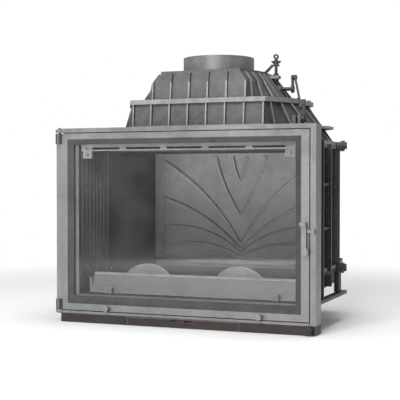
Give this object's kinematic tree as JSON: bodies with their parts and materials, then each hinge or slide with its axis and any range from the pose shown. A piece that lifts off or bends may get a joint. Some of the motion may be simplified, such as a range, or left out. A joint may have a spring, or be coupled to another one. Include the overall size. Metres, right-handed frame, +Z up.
{
  "type": "fireplace insert",
  "caption": "Cast-iron fireplace insert with a wide glazed side-hung door, palmette fireback, ribbed tapering hood and round flue collar with a lever-worked damper.",
  "frame": {"origin": "on the level of the plinth's lower edge, midway across and midway from front to back", "axes": "+X to the right as seen from the front, +Y from the door towards the back, +Z up along the flue"},
  "size_m": [0.7094, 0.5, 0.706],
  "materials": {
    "facade_iron": "smooth, matt grey-black",
    "plinth_iron": "matt, darker and slightly brown",
    "body_iron": "rough as cast",
    "hood_iron": "rough as cast, lighter on edges",
    "collar_iron": "turned, satin grey",
    "liner_iron": "rough as cast",
    "fireback_iron": "cast, light grey",
    "bar_iron": "matt",
    "plain_steel": "dark mill finish",
    "bolt_steel": "plated, dull",
    "door_glass": "clear ceramic glass",
    "rope_seal": "woven glass-fibre rope, dark"
  },
  "bodies": {
    "insert": {"air_wash_bar": "bar_iron", "ash_box": "plain_steel", "ash_cover": "plinth_iron", "ash_pan": "plain_steel", "baffle": "liner_iron", "bar_brackets": "bar_iron", "bar_screws": "bolt_steel", "base_casting": "body_iron", "body_bolts": "bolt_steel", "collar_screws": "bolt_steel", "control_bracket": "hood_iron", "facade_frame": "facade_iron", "facade_screws": "bolt_steel", "fireback": "fireback_iron", "flue_collar": "collar_iron", "grate": "liner_iron", "guard_feet": "fireback_iron", "hinge_pins": "facade_iron", "hood_lower": "hood_iron", "hood_upper": "hood_iron", "latch_keeper": "facade_iron", "lever_pivot": "plain_steel", "liner_screws": "bolt_steel", "log_guard": "fireback_iron", "log_rests": "fireback_iron", "lower_back": "liner_iron", "plinth_left": "plinth_iron", "plinth_right": "plinth_iron", "post_stays": "plain_steel", "rear_casting": "body_iron", "rear_legs": "body_iron", "ribbed_liner_left": "liner_iron", "ribbed_liner_right": "liner_iron", "side_casting_left": "body_iron", "side_casting_right": "body_iron", "side_posts": "body_iron", "side_rails": "plain_steel", "smooth_liner_left": "liner_iron", "smooth_liner_right": "liner_iron", "spindle": "plain_steel", "spindle_stay": "plain_steel", "waist_bolts": "bolt_steel"},
    "door": {"door_frame": "facade_iron", "door_glass": "door_glass", "door_seal": "rope_seal", "glass_clips": "plain_steel", "clip_screws": "bolt_steel", "door_pegs": "facade_iron", "handle_pivot": "facade_iron"},
    "handle": {"handle_lever": "facade_iron"},
    "slider": {"air_slider": "plinth_iron"},
    "valve": {"air_valve_knob": "plinth_iron", "air_valve_spindle": "plain_steel"},
    "damper": {"damper_plate": "plain_steel", "damper_shaft": "plain_steel", "damper_screws": "bolt_steel", "damper_crank": "plain_steel"},
    "lever": {"control_lever": "plain_steel"},
    "link": {"link_rod": "plain_steel"},
    "nut": {"wing_nut": "plain_steel"}
  },
  "joints": [
    {"name": "door_swing", "type": "hinge", "parent": "insert", "child": "door", "pos_m": [-0.34425, -0.226, 0.262], "axis": [0, 0, -1], "range_deg": [0, 110]},
    {"name": "handle_turn", "type": "hinge", "parent": "door", "child": "handle", "pos_m": [0.32475, -0.23, 0.2], "axis": [0, -1, 0], "range_deg": [0, 60]},
    {"name": "slider_shift", "type": "slide", "parent": "insert", "child": "slider", "axis": [1, 0, 0], "range_m": [-0.02, 0.02]},
    {"name": "valve_turn", "type": "hinge", "parent": "insert", "child": "valve", "pos_m": [0.33175, -0.23, 0.013], "axis": [0, 1, 0], "range_deg": [0, 90]},
    {"name": "lever_turn", "type": "hinge", "parent": "insert", "child": "lever", "pos_m": [0.29125, -0.135, 0.522], "axis": [1, 0, 0], "range_deg": [0, 80]},
    {"name": "damper_turn", "type": "hinge", "parent": "insert", "child": "damper", "pos_m": [0.00475, 0.03, 0.612], "axis": [1, 0, 0], "range_deg": [0, 80]},
    {"name": "link_swing", "type": "hinge", "parent": "damper", "child": "link", "pos_m": [0.22055, 0.03, 0.642], "axis": [1, 0, 0], "range_deg": [-80, 0]},
    {"name": "nut_spin", "type": "hinge", "parent": "insert", "child": "nut", "pos_m": [0.16775, 0.03, 0.683], "axis": [0, 0, 1], "continuous": true}
  ],
  "couplings": [
    {"joint": "damper_turn", "follows": "lever_turn", "ratio": 1},
    {"joint": "link_swing", "follows": "lever_turn", "ratio": -1}
  ]
}
